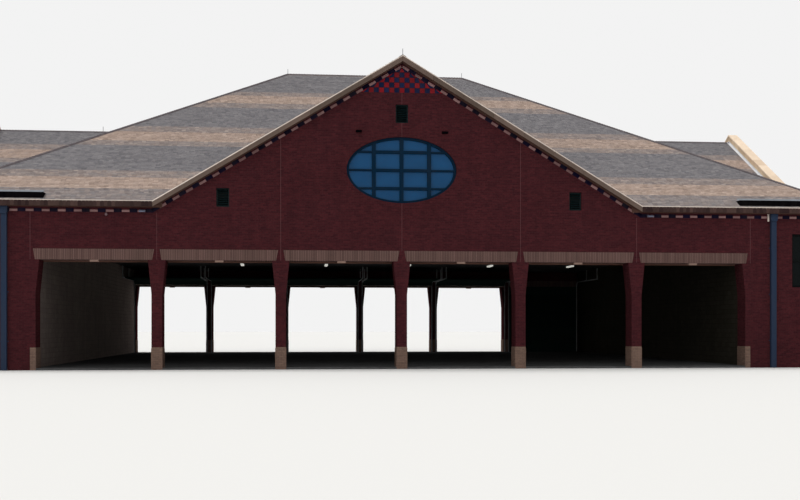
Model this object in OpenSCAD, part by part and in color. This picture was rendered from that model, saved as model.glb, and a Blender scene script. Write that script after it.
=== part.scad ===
// A fire station of brick with six drive-through bays, a hipped roof and four gables.
// Millimetres. The origin is on the ground at the middle of the plan, and the front faces -Y.

/* [Bays] */
// Distance from one pier's centre line to the next
bay_pitch = 4800; // [4400:50:5400]
// Number of bays side by side
bays = 6; // [4:2:6]
// Height of the door openings above the ground
opening_h = 4290; // [3600:10:4600]
// Thickness of the floor slab
floor_t = 80; // [60:5:150]
// Width of a pier below its flared head
pier_w = 410; // [360:10:500]
// Width of a pier at the top of its flared head
pier_head_w = 680; // [560:10:800]
// Height at which a pier starts to flare
pier_flare_z = 2950; // [2400:10:3300]
// Depth of a pier from the front face inwards
pier_d = 800; // [600:10:1000]
// Height of the tan brick foot of a pier, up to the top of its cap
pier_foot_h = 880; // [600:10:1100]
// How far the tan foot stands out round a pier
pier_foot_out = 12; // [8:1:25]
// Height of the sloped cap on a pier's foot
pier_cap_h = 75; // [50:5:110]
// Height of the soldier course over a door
lintel_h = 415; // [350:5:480]
// Brick left between two lintels, at their lower edge
lintel_gap_low = 360; // [320:5:460]
// Brick left between two lintels, at their upper edge
lintel_gap_top = 200; // [140:5:280]

/* [Walls] */
// Length of the front wall beside the bays, at each end
end_l = 4100; // [3900:50:4500]
// Depth of the building from front wall face to rear wall face
body_d = 27800; // [26000:100:29000]
// Thickness of an outer wall
wall_t = 400; // [340:10:450]
// Height of the walls under the eaves
wall_h = 6320; // [6100:10:6400]
// Thickness of the block walls beside the bays
bay_wall_t = 200; // [150:10:240]
// How far the block walls stand inside the row of bays
bay_wall_in = 100; // [60:5:140]
// Height of the ceiling over the bays
ceiling_z = 5300; // [5200:10:5600]
// Thickness of the ceiling
ceiling_t = 50; // [30:5:80]

/* [Roofs] */
// Slope of the hipped roof in degrees
hip_angle = 30.25; // [26.5:0.05:32]
// Slope of the front and rear gables' roofs in degrees
gable_angle = 31.05; // [28.8:0.05:32.3]
// How far the roofs overhang the walls
overhang = 350; // [250:10:450]
// Height of a roof's edge, measured upright
roof_edge = 240; // [200:5:300]
// Half the width of the front and rear gables
gable_half = 9730; // [9300:10:9900]
// Half the width of the gables at the two ends
end_gable_half = 8800; // [8400:50:9400]
// How far the end gables' inner faces stand out beyond the eaves
end_gable_out = 400; // [200:10:600]
// Height of the end parapets above the roof beside them
parapet_h = 350; // [250:10:450]
// Thickness of the coping on an end parapet
coping_t = 60; // [40:5:90]
// How far the coping overhangs the parapet on each side
coping_out = 30; // [20:5:50]
// Height of the pale metal drip edge
drip_h = 60; // [40:5:80]
// Thickness of the drip edge
drip_t = 20; // [10:5:30]
// Length of the low vent above the eaves, on each side of the gable
vent_l = 3800; // [2800:100:4400]
// Distance from a vent's far end to the corner of the roof
vent_end = 1200; // [900:50:1500]
// Height of the vent's top above the eaves
vent_h = 290; // [220:10:340]
// How far a vent's face stands back from the roof's edge
vent_back = 100; // [80:10:160]

/* [Gable windows and louvres] */
// Half the width of the oval window
oval_a = 2205; // [2000:5:2300]
// Half the height of the oval window
oval_b = 1320; // [1200:5:1380]
// Height of the oval window's centre above the wall top
oval_up = 1605; // [1530:5:1680]
// Width of the frame round the oval window
oval_rim = 95; // [70:5:120]
// Distance between the upright mullions
mullion_pitch = 1110; // [1000:10:1150]
// Width of the upright mullions
mullion_w = 150; // [110:5:170]
// Distance between the level bars
bar_pitch = 726; // [640:2:760]
// Width of the level bars
bar_w = 75; // [60:5:100]
// Width of the level bars in the two middle columns
bar_mid_w = 115; // [110:5:140]
// Width of a louvre
louvre_w = 500; // [420:10:560]
// Height of a louvre
louvre_h = 740; // [640:10:780]
// Height of the top louvre's centre above the wall top
louvre_top_up = 3845; // [3680:5:3980]
// Height of the low louvres' centres above the wall top
louvre_low_up = 435; // [420:5:580]
// Distance of the low louvres from the building's middle
louvre_low_x = 7060; // [6800:10:7300]
// Height of the end gables' louvre centres above the wall top
louvre_end_up = 3080; // [2700:20:3400]
// Number of blades in a louvre
louvre_blades = 9; // [6:1:11]
// Width of a louvre's rim
louvre_rim = 40; // [30:5:60]
// Depth of a louvre
louvre_d = 100; // [80:5:130]
// Thickness of a louvre's blade
blade_t = 10; // [6:1:14]
// Air left above and below a blade, at its edges
blade_gap = 4; // [3:1:8]

/* [Wall windows] */
// Width of a wall window
window_w = 1200; // [1000:10:1400]
// Height of a wall window
window_h = 2200; // [1800:10:2300]
// Height of a wall window's sill
window_z = 3310; // [2800:10:3350]
// Distance of the front windows' centres from the row of bays
window_out = 2400; // [2200:10:2600]
// Distance of the inner windows of an end wall from the middle of that wall
end_window_in = 2800; // [2000:50:6500]
// Distance of the outer windows of an end wall from the middle of that wall
end_window_out = 11250; // [10800:50:11800]
// Width of the window frames
sash_w = 70; // [50:5:90]
// Depth of the window frames
sash_d = 90; // [70:5:110]
// How far the frames stand back from the wall's face
sash_back = 110; // [80:5:140]
// Thickness of the glass
glass_t = 24; // [12:2:30]

/* [Doors and tracks] */
// How far a sectional door laps the piers, on each side
door_lap = 45; // [20:5:60]
// Thickness of a door
door_t = 50; // [40:5:60]
// Number of sections in a door
door_sections = 8; // [6:1:10]
// Height of a raised door's lower edge above the opening
hang_up = 70; // [40:5:120]
// Air between a raised door's lower edge and the piers
hang_back = 30; // [20:5:60]
// Height of the level part of the tracks above the door openings
track_up = 310; // [220:10:380]
// Width of a track
track_w = 60; // [40:5:70]
// Depth of a track, across its run
track_d = 60; // [50:5:70]
// Radius of the bend in a track, on its outer side
track_r = 420; // [340:10:500]
// How far the level tracks reach into the bay from the piers
track_l = 4900; // [4700:50:5300]
// Thickness of the hangers that carry the level tracks
hanger_t = 30; // [20:5:40]

/* [Lights, pipes and rods] */
// Width of a door light
door_light_w = 330; // [260:10:400]
// Height of a door light
door_light_h = 75; // [50:5:90]
// Depth of a door light
door_light_d = 160; // [120:10:200]
// How far a door light stands back from the wall's face
door_light_back = 60; // [30:5:120]
// Distance of the two gable lamps from the building's middle
gable_lamp_x = 1720; // [1600:10:1900]
// Height of the gable lamps above the wall top
gable_lamp_up = 3120; // [3030:10:3280]
// Distance of the eaves lamps beyond the ends of the front gable
eaves_lamp_out = 420; // [250:10:600]
// How far the eaves lamps hang below the wall top
eaves_lamp_down = 130; // [100:5:270]
// Width of a small lamp
lamp_w = 230; // [180:10:300]
// Height of a small lamp
lamp_h = 90; // [70:5:120]
// How far a small lamp stands out from the wall
lamp_d = 180; // [140:10:220]
// Length of a ceiling light
ceiling_light_l = 1220; // [1000:20:1500]
// Width of a ceiling light
ceiling_light_w = 160; // [120:10:220]
// Height of a ceiling light
ceiling_light_h = 80; // [60:5:110]
// Distance between the rows of ceiling lights
ceiling_light_pitch = 4000; // [3000:100:5000]
// Distance of the downspouts from the row of bays
spout_out = 960; // [800:10:1300]
// Width of a downspout
spout_w = 220; // [160:5:240]
// Depth of a downspout
spout_d = 130; // [100:5:160]
// Height of the conductor head on a downspout
head_h = 300; // [240:10:340]
// How much wider and deeper the conductor head is than its pipe
head_more = 60; // [40:5:100]
// Height of a lightning rod
rod_h = 260; // [200:10:400]
// Diameter of a lightning rod
rod_dia = 24; // [16:2:30]
// Distance of the left end ridge's rod from its parapet
rod_in = 5250; // [1000:50:6000]
// Distance of the vent pipe from the left parapet
pipe_in = 2650; // [1200:50:3000]
// Distance of the vent pipe in front of the end ridge
pipe_y = 5200; // [3000:100:6500]
// Diameter of the roof's vent pipe
pipe_dia = 110; // [80:5:150]
// Height of the vent pipe above the roof
pipe_h = 450; // [350:10:600]

/* [Hidden] */
row_x = bay_pitch * bays / 2;
body_w = 2 * (row_x + end_l);
hip_slope = tan(hip_angle);
gable_slope = tan(gable_angle);
eave_z = wall_h + roof_edge;
eave_x = body_w / 2 + overhang;
eave_y = body_d / 2 + overhang;
ridge_half = eave_x - eave_y;
ridge_z = eave_z + eave_y * hip_slope;
gable_z = eave_z + gable_half * gable_slope;
end_ridge_z = eave_z + end_gable_half * hip_slope;
end_in = eave_x + end_gable_out;
end_face = end_in + wall_t;
inner_x = body_w / 2 - wall_t;
inner_y = body_d / 2 - wall_t;
pier_in = body_d / 2 - pier_d;
lintel_z = opening_h + lintel_h;
track_z = opening_h + track_up;
oval_z = wall_h + oval_up;
louvre_top_z = wall_h + louvre_top_up;
louvre_low_z = wall_h + louvre_low_up;
louvre_end_z = wall_h + louvre_end_up;
valley_ratio = hip_slope / gable_slope;
frame_y = body_d / 2 - sash_back;
far = 60000;
mark = 1;

// Extrudes an outline of (Y, Z) points along X, from x0 to x1.
module along_x(x0, x1)
    translate([x0, 0, 0]) rotate([90, 0, 90]) linear_extrude(x1 - x0) children();

// Extrudes an outline of (X, Z) points along Y, from y0 to y1.
module along_y(y0, y1)
    translate([0, y1, 0]) rotate([90, 0, 0]) linear_extrude(y1 - y0) children();

// A block between two corners.
module block(low, high)
    translate(low) cube(high - low);

// The same shape at the front and at the rear.
module front_and_rear() {
    children();
    mirror([0, 1, 0]) children();
}

// The same shape at both ends.
module both_ends() {
    children();
    mirror([1, 0, 0]) children();
}

// An ellipse as an outline of straight facets.
module ellipse(a, b)
    polygon([for (i = [0:95]) [a * cos(i * 3.75), b * sin(i * 3.75)]]);

module floor_slab() color("silver")
    linear_extrude(floor_t) difference() {
        union() {
            square([2 * inner_x, 2 * inner_y], center = true);
            square([2 * end_in, 2 * (end_gable_half - wall_t)], center = true);
            square([2 * row_x - pier_w, body_d], center = true);
        }
        for (s = [-1, 1]) intersection() {
            for (x = [-row_x:bay_pitch:row_x]) translate([x, s * (body_d - pier_d) / 2])
                square([pier_w + 2 * pier_foot_out, pier_d], center = true);
            square([2 * row_x, far], center = true);
        }
    }

// A pier's front outline: straight above its foot, flared under the lintels, a wedge between them.
module pier_outline()
    polygon([
        [-pier_w / 2, pier_foot_h], [pier_w / 2, pier_foot_h],
        [pier_w / 2, pier_flare_z], [pier_head_w / 2, opening_h],
        [lintel_gap_low / 2, opening_h], [lintel_gap_top / 2, lintel_z],
        [-lintel_gap_top / 2, lintel_z], [-lintel_gap_low / 2, opening_h],
        [-pier_head_w / 2, opening_h], [-pier_w / 2, pier_flare_z]
    ]);

// The rows of piers: whole ones between the bays and a half one at each end.
module piers() color("brown")
    front_and_rear() along_y(-body_d / 2, -pier_in) intersection() {
        for (x = [-row_x:bay_pitch:row_x]) translate([x, 0]) pier_outline();
        translate([-row_x, 0]) square([2 * row_x, lintel_z]);
    }

// A foot is a little wider than its pier and ends in a sloped cap.
module foot_outline(w)
    polygon([
        [-w / 2 - pier_foot_out, 0], [w / 2 + pier_foot_out, 0],
        [w / 2 + pier_foot_out, pier_foot_h - pier_cap_h], [w / 2, pier_foot_h],
        [-w / 2, pier_foot_h], [-w / 2 - pier_foot_out, pier_foot_h - pier_cap_h]
    ]);

module pier_feet() color("tan")
    front_and_rear() intersection() {
        along_y(-body_d / 2 - pier_foot_out, -pier_in) intersection() {
            for (x = [-row_x:bay_pitch:row_x]) translate([x, 0]) foot_outline(pier_w);
            translate([-row_x, 0]) square([2 * row_x, pier_foot_h]);
        }
        along_x(-row_x, row_x) translate([-(body_d - pier_d) / 2, 0]) foot_outline(pier_d);
    }

// The tan soldier course over each door, wider at its top.
module door_lintels() color("burlywood")
    front_and_rear() along_y(-body_d / 2, -pier_in)
        for (i = [0:bays - 1]) translate([(i - bays / 2) * bay_pitch, 0])
            polygon([
                [lintel_gap_low / 2, opening_h], [bay_pitch - lintel_gap_low / 2, opening_h],
                [bay_pitch - lintel_gap_top / 2, lintel_z], [lintel_gap_top / 2, lintel_z]
            ]);

// The front wall beside the bays, with its window, on the right.
module wall_beside() color("brown")
    along_y(-body_d / 2, -inner_y) difference() {
        translate([row_x, 0]) square([body_w / 2 - row_x, wall_h]);
        translate([row_x + window_out - window_w / 2, window_z]) square([window_w, window_h]);
    }
module front_wall_right() wall_beside();
module front_wall_left() mirror([1, 0, 0]) wall_beside();
module rear_wall_right() mirror([0, 1, 0]) wall_beside();
module rear_wall_left() mirror([1, 0, 0]) mirror([0, 1, 0]) wall_beside();

// The wall over the lintels.
module wall_head() color("brown")
    block([-row_x, -body_d / 2, lintel_z], [row_x, -inner_y, wall_h]);
module front_wall_head() wall_head();
module rear_wall_head() mirror([0, 1, 0]) wall_head();

// The gable's triangle, cut for the oval window and three louvres.
module gable_wall() color("brown")
    along_y(-body_d / 2, -inner_y) difference() {
        polygon([[-gable_half, wall_h], [gable_half, wall_h], [0, gable_z - roof_edge]]);
        translate([0, oval_z]) ellipse(oval_a, oval_b);
        louvre_places() square([louvre_w, louvre_h], center = true);
    }
module front_gable_wall() gable_wall();
module rear_gable_wall() mirror([0, 1, 0]) gable_wall();

module louvre_places() {
    translate([0, louvre_top_z]) children();
    for (s = [-1, 1]) translate([s * louvre_low_x, louvre_low_z]) children();
}

// The right end wall: it steps out in the middle to carry the end gable.
module end_wall() color("brown")
    difference() {
        linear_extrude(wall_h) polygon([
            [inner_x, -inner_y], [body_w / 2, -inner_y], [body_w / 2, -end_gable_half],
            [end_face, -end_gable_half], [end_face, end_gable_half],
            [body_w / 2, end_gable_half], [body_w / 2, inner_y], [inner_x, inner_y],
            [inner_x, end_gable_half - wall_t], [end_in, end_gable_half - wall_t],
            [end_in, wall_t - end_gable_half], [inner_x, wall_t - end_gable_half]
        ]);
        along_x(inner_x - mark, end_face + mark) end_window_places()
            square([window_w, window_h], center = true);
    }
module right_wall() end_wall();
module left_wall() mirror([1, 0, 0]) end_wall();

module end_window_places()
    for (y = [-end_window_out, -end_window_in, end_window_in, end_window_out])
        translate([y, window_z + window_h / 2]) children();

// The end gable rises above its roof as a parapet.
module end_gable() color("brown")
    along_x(end_in, end_face) difference() {
        polygon([
            [-end_gable_half, wall_h], [end_gable_half, wall_h],
            [end_gable_half, eave_z + parapet_h], [0, end_ridge_z + parapet_h],
            [-end_gable_half, eave_z + parapet_h]
        ]);
        translate([0, louvre_end_z]) square([louvre_w, louvre_h], center = true);
    }
module right_gable_wall() end_gable();
module left_gable_wall() mirror([1, 0, 0]) end_gable();

// The block wall between the bays and the rooms at the right end. It backs the half piers.
module bay_wall() color("tan")
    translate([0, 0, floor_t]) linear_extrude(ceiling_z - floor_t) polygon([
        [row_x - bay_wall_in, -pier_in], [row_x, -pier_in], [row_x, -inner_y],
        [row_x - bay_wall_in + bay_wall_t, -inner_y], [row_x - bay_wall_in + bay_wall_t, inner_y],
        [row_x, inner_y], [row_x, pier_in], [row_x - bay_wall_in, pier_in]
    ]);
module right_bay_wall() bay_wall();
module left_bay_wall() mirror([1, 0, 0]) bay_wall();

module bay_ceiling() color("dimgray")
    translate([0, 0, ceiling_z]) linear_extrude(ceiling_t) {
        square([2 * inner_x, 2 * inner_y], center = true);
        square([2 * end_in, 2 * (end_gable_half - wall_t)], center = true);
    }

// One slope of the hipped roof: a slab cut to its plan. The slab rises from the eaves at -reach.
module slope_profile(reach)
    polygon([
        [-reach, wall_h], [-reach, eave_z],
        [0, eave_z + reach * hip_slope], [0, wall_h + reach * hip_slope]
    ]);

// The plan of the front slope, and the plan of the right slope.
module front_plan()
    polygon([[-eave_x, -eave_y], [eave_x, -eave_y], [ridge_half, 0], [-ridge_half, 0]]);
module right_plan()
    polygon([[eave_x, -eave_y], [eave_x, eave_y], [ridge_half, 0]]);

// The plan of the gable's roof over the wall and in front of it, out to the valleys.
module gable_notch() {
    run = wall_t + overhang;
    polygon([
        [-gable_half, -eave_y], [gable_half, -eave_y],
        [gable_half - run * valley_ratio, run - eave_y], [run * valley_ratio - gable_half, run - eave_y]
    ]);
}

module slope_front() color("dimgray")
    difference() {
        intersection() {
            along_x(-eave_x, eave_x) slope_profile(eave_y);
            linear_extrude(far) front_plan();
        }
        linear_extrude(far) gable_notch();
    }
module main_roof_front() slope_front();
module main_roof_rear() mirror([0, 1, 0]) slope_front();

module slope_right() color("dimgray")
    intersection() {
        mirror([1, 0, 0]) translate([-ridge_half, 0, 0])
            along_y(-eave_y, eave_y) slope_profile(eave_y);
        linear_extrude(far) right_plan();
    }
module main_roof_right() slope_right();
module main_roof_left() mirror([1, 0, 0]) slope_right();

// An inverted V with upright edges: a gable roof in section.
module chevron(half, slope)
    polygon([
        [-half, wall_h], [0, wall_h + half * slope], [half, wall_h],
        [half, eave_z], [0, eave_z + half * slope], [-half, eave_z]
    ]);

// The front gable's roof: whole over its wall, and behind it only what lies above the main slope.
module gable_roof() color("gray") {
    intersection() {
        along_y(-eave_y, -inner_y) chevron(gable_half, gable_slope);
        linear_extrude(far) gable_notch();
    }
    difference() {
        along_y(-inner_y, 0) chevron(gable_half, gable_slope);
        along_x(-far, far) polygon([
            [-eave_y, 0], [-eave_y, eave_z], [0, ridge_z], [mark, ridge_z], [mark, 0]
        ]);
    }
}
module front_gable_roof() gable_roof();
module rear_gable_roof() mirror([0, 1, 0]) gable_roof();

// The right end gable's roof: what lies above the right slope, up to the parapet.
module end_gable_roof() color("gray")
    difference() {
        along_x(ridge_half, end_in) chevron(end_gable_half, hip_slope);
        along_y(-far, far) polygon([
            [eave_x, 0], [eave_x, eave_z],
            [ridge_half - mark, ridge_z + mark * hip_slope], [ridge_half - mark, 0]
        ]);
    }
module right_gable_roof() end_gable_roof();
module left_gable_roof() mirror([1, 0, 0]) end_gable_roof();

// The boxed eaves: a wedge on the wall top that carries the roof's edge and closes it below.
module eaves_profile(reach)
    polygon([
        [-reach, wall_h], [overhang + wall_t - reach, wall_h],
        [overhang + wall_t - reach, wall_h + (overhang + wall_t) * hip_slope]
    ]);

module eaves() color("saddlebrown") {
    front_and_rear() difference() {
        intersection() {
            along_x(-eave_x, eave_x) eaves_profile(eave_y);
            linear_extrude(far) front_plan();
        }
        linear_extrude(far) gable_notch();
        block([-gable_half, -body_d / 2, 0], [gable_half, 0, far]);
    }
    both_ends() difference() {
        intersection() {
            mirror([1, 0, 0]) translate([-ridge_half, 0, 0])
                along_y(-eave_y, eave_y) eaves_profile(eave_y);
            linear_extrude(far) right_plan();
        }
        block([0, -end_gable_half, 0], [far, end_gable_half, far]);
    }
}

// Pale metal along the eaves and up the rakes of the front and rear gables.
module drip_edges() color("ivory") {
    front_and_rear() {
        both_ends()
            block([gable_half, -eave_y - drip_t, eave_z - drip_h], [eave_x + drip_t, -eave_y, eave_z]);
        along_y(-eave_y - drip_t, -eave_y) polygon([
            [-gable_half, eave_z - drip_h], [0, gable_z - drip_h], [gable_half, eave_z - drip_h],
            [gable_half, eave_z], [0, gable_z], [-gable_half, eave_z]
        ]);
        both_ends()
            block([eave_x, -eave_y, eave_z - drip_h], [eave_x + drip_t, -end_gable_half, eave_z]);
    }
}

// Tan coping on the end parapets.
module parapet_copings() color("tan")
    both_ends() along_x(end_in - coping_out, end_face + coping_out) {
        foot = eave_z + parapet_h;
        peak = end_ridge_z + parapet_h;
        polygon([
            [-end_gable_half, foot], [0, peak], [end_gable_half, foot],
            [end_gable_half, foot + coping_t], [0, peak + coping_t], [-end_gable_half, foot + coping_t]
        ]);
    }

// The long low vents above the eaves, each a wedge with an upright face.
module eaves_vents() color("black")
    front_and_rear() both_ends() along_x(eave_x - vent_end - vent_l, eave_x - vent_end) polygon([
        [vent_back - eave_y, eave_z + vent_back * hip_slope],
        [vent_h / hip_slope - eave_y, eave_z + vent_h],
        [vent_back - eave_y, eave_z + vent_h]
    ]);

// The oval frame's outline: a rim, three mullions and three level bars.
module oval_outline() {
    difference() {
        ellipse(oval_a, oval_b);
        ellipse(oval_a - oval_rim, oval_b - oval_rim);
    }
    intersection() {
        ellipse(oval_a, oval_b);
        union() {
            for (i = [-1:1]) translate([i * mullion_pitch, 0])
                square([mullion_w, 2 * oval_b], center = true);
            for (i = [-1:1]) translate([0, i * bar_pitch]) {
                square([2 * oval_a, bar_w], center = true);
                square([2 * mullion_pitch, bar_mid_w], center = true);
            }
        }
    }
}

module oval_frames() color("darkslategray")
    front_and_rear() along_y(-frame_y, sash_d - frame_y) translate([0, oval_z]) oval_outline();

module oval_glass() color("steelblue")
    front_and_rear() along_y(sash_d - frame_y, sash_d + glass_t - frame_y)
        translate([0, oval_z]) ellipse(oval_a, oval_b);

// One louvre, centred on its opening, with its outer face at zero depth.
module louvre_unit() {
    pitch = (louvre_h - 2 * louvre_rim) / louvre_blades;
    along_y(0, louvre_d) difference() {
        square([louvre_w, louvre_h], center = true);
        square([louvre_w - 2 * louvre_rim, louvre_h - 2 * louvre_rim], center = true);
    }
    for (i = [0:louvre_blades - 1])
        along_x(louvre_rim - louvre_w / 2, louvre_w / 2 - louvre_rim)
            translate([0, louvre_rim - louvre_h / 2 + i * pitch]) polygon([
                [blade_t, blade_gap + blade_t / 2], [2 * blade_t, blade_gap],
                [louvre_d - blade_t, pitch - blade_gap - blade_t / 2],
                [louvre_d - 2 * blade_t, pitch - blade_gap]
            ]);
}

module louvres() color("darkslategray") {
    front_and_rear() {
        translate([0, -frame_y, louvre_top_z]) louvre_unit();
        for (s = [-1, 1]) translate([s * louvre_low_x, -frame_y, louvre_low_z]) louvre_unit();
    }
    both_ends() translate([end_face - sash_back, 0, louvre_end_z]) rotate([0, 0, 90]) louvre_unit();
}

// A wall window's frame: a rim, one mullion and one level bar.
module sash_outline()
    difference() {
        square([window_w, window_h], center = true);
        for (i = [-1, 1], j = [-1, 1])
            translate([i * (window_w - sash_w) / 4, j * (window_h - sash_w) / 4])
                square([window_w - 3 * sash_w, window_h - 3 * sash_w] / 2, center = true);
    }

// Places an outline in every wall window, from depth d0 to depth d1 behind the wall's face.
module in_windows(d0, d1) {
    front_and_rear() both_ends() along_y(d0 - body_d / 2, d1 - body_d / 2)
        translate([row_x + window_out, window_z + window_h / 2]) children();
    both_ends() {
        along_x(end_face - d1, end_face - d0) for (s = [-1, 1])
            translate([s * end_window_in, window_z + window_h / 2]) children();
        along_x(body_w / 2 - d1, body_w / 2 - d0) for (s = [-1, 1])
            translate([s * end_window_out, window_z + window_h / 2]) children();
    }
}

module window_frames() color("darkslategray")
    in_windows(sash_back, sash_back + sash_d) sash_outline();

module window_glass() color("steelblue")
    in_windows(sash_back + sash_d, sash_back + sash_d + glass_t)
        square([window_w, window_h], center = true);

// The centre lines of the bays whose rear doors stand open.
open_rear = [for (i = [0:bays - 2]) (i + 0.5 - bays / 2) * bay_pitch];
all_bays = [for (i = [0:bays - 1]) (i + 0.5 - bays / 2) * bay_pitch];
door_w = bay_pitch - pier_w + 2 * door_lap;
door_h = opening_h - floor_t + door_lap;
section_h = door_h / door_sections;
hang_drop = track_up - hang_up;
hang_run = sqrt(section_h * section_h - hang_drop * hang_drop);
hang_y = pier_in - hang_back;

// A raised door in section: level on its tracks, with the last section aslant in the bend.
module raised_door(x)
    along_x(x - door_w / 2, x + door_w / 2) polygon([
        [-hang_y, track_z - hang_drop], [hang_run - hang_y, track_z],
        [hang_run - hang_y + door_h - section_h, track_z],
        [hang_run - hang_y + door_h - section_h, track_z + door_t],
        [hang_run - hang_y, track_z + door_t], [-hang_y, track_z - hang_drop + door_t]
    ]);

// Doors drawn up between their level tracks, and the one rear door that is down.
module sectional_doors() color("darkslategray") {
    for (x = all_bays) raised_door(x);
    mirror([0, 1, 0]) for (x = open_rear) raised_door(x);
    down = (bays - 1) / 2 * bay_pitch;
    block([down - door_w / 2, pier_in - door_t, floor_t],
          [down + door_w / 2, pier_in, floor_t + door_h]);
}

// Places a track's side outline at both edges of every door.
module at_door_edges()
    front_and_rear() for (x = all_bays, s = [-1, 1]) {
        edge = x + s * (door_w + track_w) / 2;
        along_x(edge - track_w / 2, edge + track_w / 2) children();
    }

// The upright part of a track, on the pier's back, with the bend at its top.
module upright_tracks() color("gray")
    at_door_edges() {
        bend_z = track_z + track_d - track_r;
        translate([-pier_in, floor_t]) square([track_d, bend_z - floor_t]);
        translate([track_r - pier_in, bend_z]) difference() {
            circle(r = track_r, $fn = 48);
            circle(r = track_r - track_d, $fn = 48);
            translate([-track_r, -2 * track_r]) square([2 * track_r, 2 * track_r]);
            translate([0, -track_r]) square([2 * track_r, 3 * track_r]);
        }
    }

// The level part of a track, hung from the ceiling.
module level_tracks() color("gray")
    at_door_edges() {
        translate([track_r - pier_in, track_z]) square([track_l - track_r, track_d]);
        for (y = [track_l / 2, track_l - hanger_t])
            translate([y - pier_in, track_z]) square([hanger_t, ceiling_z - track_z]);
    }

module ceiling_lights() color("white")
    for (x = all_bays, i = [-1.5:1.5])
        block([x - ceiling_light_w / 2, i * ceiling_light_pitch - ceiling_light_l / 2,
               ceiling_z - ceiling_light_h],
              [x + ceiling_light_w / 2, i * ceiling_light_pitch + ceiling_light_l / 2, ceiling_z]);

// A lamp on the wall: a sloped hood with a flat back.
module lamp()
    along_x(-lamp_w / 2, lamp_w / 2) polygon([
        [0, 0], [0, lamp_h], [-lamp_d * 0.3, lamp_h], [-lamp_d, lamp_h * 0.35], [-lamp_d, 0]
    ]);

module outside_lights() color("dimgray")
    front_and_rear() {
        for (x = all_bays)
            block([x - door_light_w / 2, door_light_back - body_d / 2, opening_h - door_light_h],
                  [x + door_light_w / 2, door_light_back + door_light_d - body_d / 2, opening_h]);
        for (s = [-1, 1]) translate([0, -body_d / 2, wall_h - lamp_h / 2]) {
            translate([s * gable_lamp_x, 0, gable_lamp_up]) lamp();
            translate([s * (gable_half + eaves_lamp_out), 0, -eaves_lamp_down]) lamp();
        }
    }

// A square pipe down the wall, with a conductor head under the eaves.
module downspouts() color("darkslateblue")
    front_and_rear() both_ends() {
        translate([row_x + spout_out, -body_d / 2, 0]) {
            translate([-spout_w / 2, -spout_d, 0]) cube([spout_w, spout_d, wall_h - head_h]);
            along_y(-spout_d - head_more, 0) polygon([
                [-spout_w / 2, wall_h - head_h], [spout_w / 2, wall_h - head_h],
                [(spout_w + head_more) / 2, wall_h - head_h * 0.7], [(spout_w + head_more) / 2, wall_h],
                [-(spout_w + head_more) / 2, wall_h], [-(spout_w + head_more) / 2, wall_h - head_h * 0.7]
            ]);
        }
    }

// Lightning rods, each standing on a ridge.
module rod(place)
    translate(place) cylinder(h = rod_h, d = rod_dia, $fn = 24);

module roof_rods() color("silver") {
    front_and_rear() rod([0, rod_dia - eave_y, gable_z]);
    both_ends() rod([ridge_half - rod_dia, 0, ridge_z]);
    rod([rod_in - end_in, 0, end_ridge_z]);
}

// A pipe through the front slope of the left end gable's roof, cut to the slope at its foot.
module vent_pipe() color("gainsboro")
    difference() {
        foot_z = eave_z + (end_gable_half - pipe_y) * hip_slope;
        translate([pipe_in - end_in, -pipe_y, foot_z - pipe_dia])
            cylinder(h = pipe_h + pipe_dia, d = pipe_dia, $fn = 32);
        along_x(-end_in, 0) polygon([
            [-end_gable_half, 0], [-end_gable_half, eave_z], [0, end_ridge_z], [0, 0]
        ]);
    }

floor_slab();
piers();
pier_feet();
door_lintels();
front_wall_left();
front_wall_right();
front_wall_head();
front_gable_wall();
rear_wall_left();
rear_wall_right();
rear_wall_head();
rear_gable_wall();
left_wall();
right_wall();
left_gable_wall();
right_gable_wall();
left_bay_wall();
right_bay_wall();
bay_ceiling();
main_roof_front();
main_roof_rear();
main_roof_left();
main_roof_right();
front_gable_roof();
rear_gable_roof();
left_gable_roof();
right_gable_roof();
eaves();
drip_edges();
parapet_copings();
eaves_vents();
oval_frames();
oval_glass();
louvres();
window_frames();
window_glass();
sectional_doors();
upright_tracks();
level_tracks();
ceiling_lights();
outside_lights();
downspouts();
roof_rods();
vent_pipe();
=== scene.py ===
import bpy
import numpy as np
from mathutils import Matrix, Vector


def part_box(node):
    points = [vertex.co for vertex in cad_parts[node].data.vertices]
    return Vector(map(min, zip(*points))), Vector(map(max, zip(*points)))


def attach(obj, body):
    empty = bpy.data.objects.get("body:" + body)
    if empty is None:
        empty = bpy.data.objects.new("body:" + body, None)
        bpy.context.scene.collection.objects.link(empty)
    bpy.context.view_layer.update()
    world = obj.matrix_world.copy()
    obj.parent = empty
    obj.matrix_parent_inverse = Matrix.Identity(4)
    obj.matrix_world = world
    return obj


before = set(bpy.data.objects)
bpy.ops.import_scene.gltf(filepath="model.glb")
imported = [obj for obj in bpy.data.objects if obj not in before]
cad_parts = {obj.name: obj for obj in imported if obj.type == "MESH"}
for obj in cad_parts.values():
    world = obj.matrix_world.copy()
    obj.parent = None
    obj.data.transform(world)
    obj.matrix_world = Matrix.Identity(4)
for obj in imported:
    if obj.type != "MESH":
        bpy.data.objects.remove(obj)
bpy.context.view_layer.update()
rng = np.random.default_rng(6)

# Places that the frame gives, in metres. The front faces -Y.
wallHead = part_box("front_wall_head")
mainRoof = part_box("main_roof_front")
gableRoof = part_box("front_gable_roof")
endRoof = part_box("right_gable_roof")
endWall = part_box("right_gable_wall")
wallFace = -wallHead[0][1]
rowX = wallHead[1][0]
lintelTop = wallHead[0][2]
wallTop = wallHead[1][2]
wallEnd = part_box("front_wall_right")[1][0]
eaveX = mainRoof[1][0]
eaveY = -mainRoof[0][1]
ridgeZ = mainRoof[1][2]
gableHalf = gableRoof[1][0]
gableZ = gableRoof[1][2]
endHalf = endRoof[1][1]
endRidgeZ = endRoof[1][2]
endIn, endFace = endWall[0][0], endWall[1][0]
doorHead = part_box("door_lintels")[0][2]
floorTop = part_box("floor_slab")[1][2]

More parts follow.
